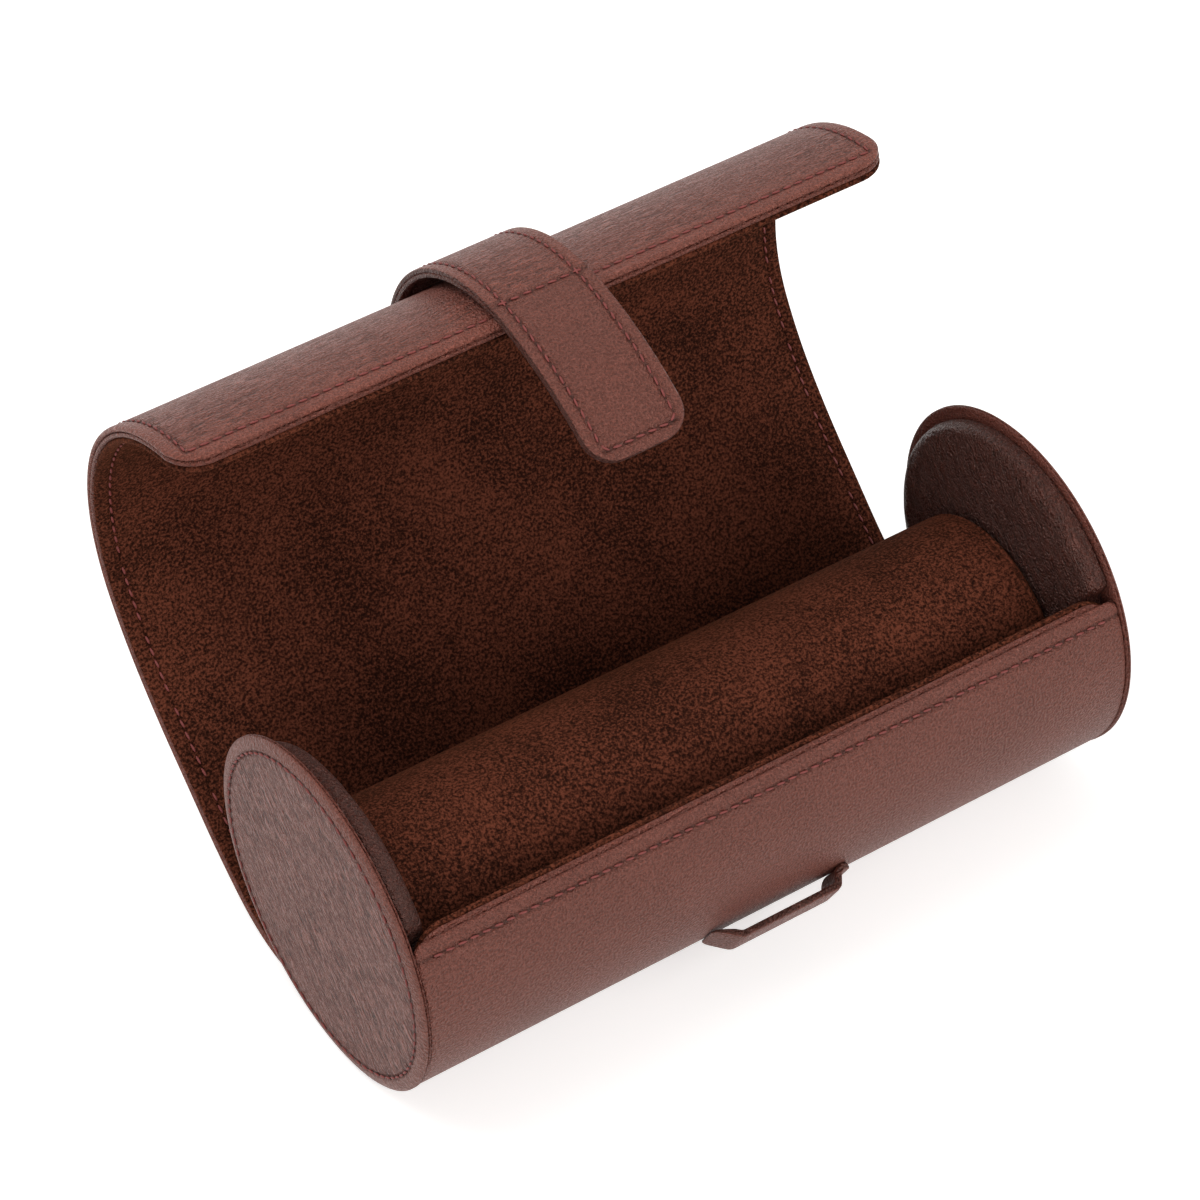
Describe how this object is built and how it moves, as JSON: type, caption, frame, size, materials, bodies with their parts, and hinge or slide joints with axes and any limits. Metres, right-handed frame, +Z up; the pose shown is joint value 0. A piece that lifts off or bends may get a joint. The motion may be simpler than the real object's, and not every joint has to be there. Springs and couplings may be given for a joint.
{
  "type": "watch storage case",
  "caption": "Cylindrical leather watch case with a roll-over lid on a bending back, a strap that tucks under a loop, padded ends and a lift-out cushion roll.",
  "frame": {"origin": "middle of the flat strip under the fixed wall, on which the case stands", "axes": "+X along the case towards its right disc, +Y to the bending back of the lid, +Z up"},
  "size_m": [0.18, 0.1392, 0.1281],
  "materials": {
    "leather": "satin",
    "suede": "matte",
    "board": "matte",
    "foam": "matte"
  },
  "bodies": {
    "case": {"body_leather": "leather", "body_board": "board", "body_lining": "suede", "lip_facing": "suede", "keeper_loop": "leather", "left_disc": "leather", "left_end_board": "board", "left_pad_foam": "foam", "left_pad_cover": "leather", "right_disc": "leather", "right_end_board": "board", "right_pad_foam": "foam", "right_pad_cover": "leather"},
    "flap_1": {"flap_1_leather": "leather", "flap_1_padding": "foam", "flap_1_lining": "suede"},
    "flap_2": {"flap_2_leather": "leather", "flap_2_padding": "foam", "flap_2_lining": "suede"},
    "flap_3": {"flap_3_leather": "leather", "flap_3_padding": "foam", "flap_3_lining": "suede"},
    "flap_4": {"flap_4_leather": "leather", "flap_4_padding": "foam", "flap_4_lining": "suede"},
    "flap_5": {"flap_5_leather": "leather", "flap_5_padding": "foam", "flap_5_lining": "suede"},
    "flap_6": {"flap_6_leather": "leather", "flap_6_padding": "foam", "flap_6_lining": "suede"},
    "lid": {"lid_leather": "leather", "lid_board": "board", "lid_lining": "suede", "strap_back": "leather", "strap_top": "leather"},
    "tongue": {"tongue_top": "leather", "tongue_back": "leather"},
    "tip": {"tip_top": "leather", "tip_back": "leather"},
    "roll": {"roll_cover": "suede", "roll_core": "foam", "roll_left_end": "suede", "roll_right_end": "suede"}
  },
  "joints": [
    {"name": "lid_roll", "type": "hinge", "parent": "case", "child": "flap_1", "pos_m": [0, 0.005, 0.0006], "axis": [1, 0, 0], "range_deg": [0, 17.5], "deforming": ["tongue_top", "tongue_back", "tip_top", "tip_back"]},
    {"name": "flap_bend_2", "type": "hinge", "parent": "flap_1", "child": "flap_2", "pos_m": [0, 0.023, 0.0006], "axis": [1, 0, 0], "range_deg": [0, 10.5]},
    {"name": "flap_bend_3", "type": "hinge", "parent": "flap_2", "child": "flap_3", "pos_m": [0, 0.03963, 0.00568], "axis": [1, 0, 0], "range_deg": [0, 1.5]},
    {"name": "flap_bend_4", "type": "hinge", "parent": "flap_3", "child": "flap_4", "pos_m": [0, 0.05362, 0.01682], "axis": [1, 0, 0], "range_deg": [0, 22]},
    {"name": "flap_bend_5", "type": "hinge", "parent": "flap_4", "child": "flap_5", "pos_m": [0, 0.06679, 0.02909], "axis": [1, 0, 0], "range_deg": [0, 22.5]},
    {"name": "flap_bend_6", "type": "hinge", "parent": "flap_5", "child": "flap_6", "pos_m": [0, 0.07912, 0.04209], "axis": [1, 0, 0], "range_deg": [0, 10]},
    {"name": "lid_bend", "type": "hinge", "parent": "flap_6", "child": "lid", "pos_m": [0, 0.08924, 0.05681], "axis": [1, 0, 0], "range_deg": [0, 13]},
    {"name": "strap_flex", "type": "hinge", "parent": "lid", "child": "tongue", "pos_m": [0, 0.05044, 0.12781], "axis": [1, 0, 0], "range_deg": [-10, 29], "stiffness_Nm_per_rad": 0.02, "deforming": ["tongue_top", "tongue_back", "tip_top", "tip_back"]},
    {"name": "tip_flex", "type": "hinge", "parent": "tongue", "child": "tip", "pos_m": [0, 0.03868, 0.12545], "axis": [1, 0, 0], "range_deg": [-29, 10]},
    {"name": "roll_lift", "type": "slide", "parent": "case", "child": "roll", "axis": [0, 0, 1], "range_m": [0, 0.017]}
  ],
  "couplings": [
    {"joint": "flap_bend_2", "follows": "lid_roll", "ratio": 0.6},
    {"joint": "flap_bend_3", "follows": "lid_roll", "ratio": 0.085714},
    {"joint": "flap_bend_4", "follows": "lid_roll", "ratio": 1.2571},
    {"joint": "flap_bend_5", "follows": "lid_roll", "ratio": 1.2857},
    {"joint": "flap_bend_6", "follows": "lid_roll", "ratio": 0.57143},
    {"joint": "lid_bend", "follows": "lid_roll", "ratio": 0.74286},
    {"joint": "tip_flex", "follows": "strap_flex", "ratio": -1}
  ]
}
